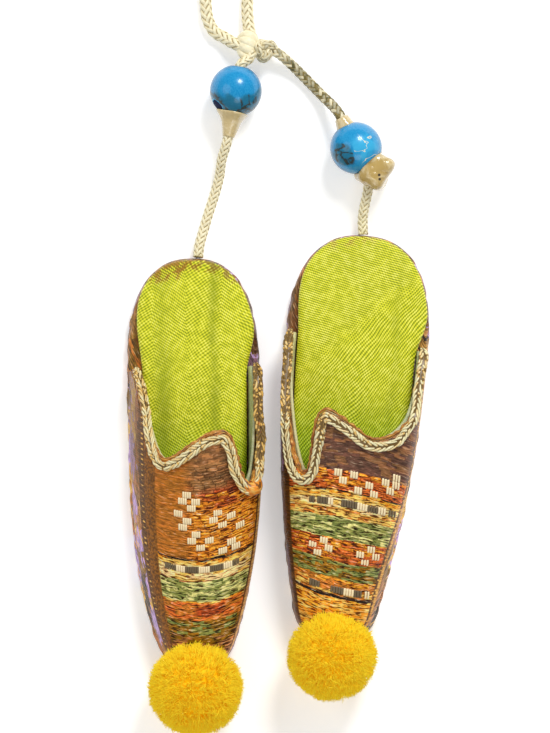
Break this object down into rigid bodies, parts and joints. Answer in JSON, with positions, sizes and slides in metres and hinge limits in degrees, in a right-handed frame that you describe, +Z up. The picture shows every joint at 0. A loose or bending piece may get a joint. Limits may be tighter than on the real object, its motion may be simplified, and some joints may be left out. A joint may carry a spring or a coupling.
{
  "type": "pair of miniature slipper ornaments",
  "caption": "Pair of small fabric slippers with open backs and pompom toes, tied by a beaded cord to a hanging loop.",
  "frame": {"origin": "on the surface that the soles lie on, under the middle of the box round the two slippers, measured without the cord and what is on it", "axes": "+X across the pair toward the right slipper, +Y toward the heels and the hanging loop, +Z up"},
  "size_m": [0.0582, 0.1666, 0.0186],
  "materials": {
    "brocade": "woven, with metal thread",
    "ribbon": "satin rib",
    "woven_upper": "striped weave, with metal thread",
    "lining": "plain weave",
    "gimp_braid": "plaited metal thread",
    "yarn": "cut yarn",
    "cord": "satin braid",
    "bead": "polished, marbled",
    "glue": "clear amber"
  },
  "bodies": {
    "root": {"left_sole": "brocade", "right_sole": "brocade", "left_insole": "ribbon", "right_insole": "ribbon", "left_upper": "woven_upper", "right_upper": "woven_upper", "left_lining": "lining", "right_lining": "lining", "left_braid": "gimp_braid", "right_braid": "gimp_braid", "left_pompom": "yarn", "right_pompom": "yarn", "left_cord": "cord", "right_cord": "cord", "hanging_loop": "cord", "cord_knot": "cord", "left_bead": "bead", "right_bead": "bead", "left_glue": "glue", "right_glue": "glue", "right_glue_scrap": "glue"}
  },
  "joints": []
}
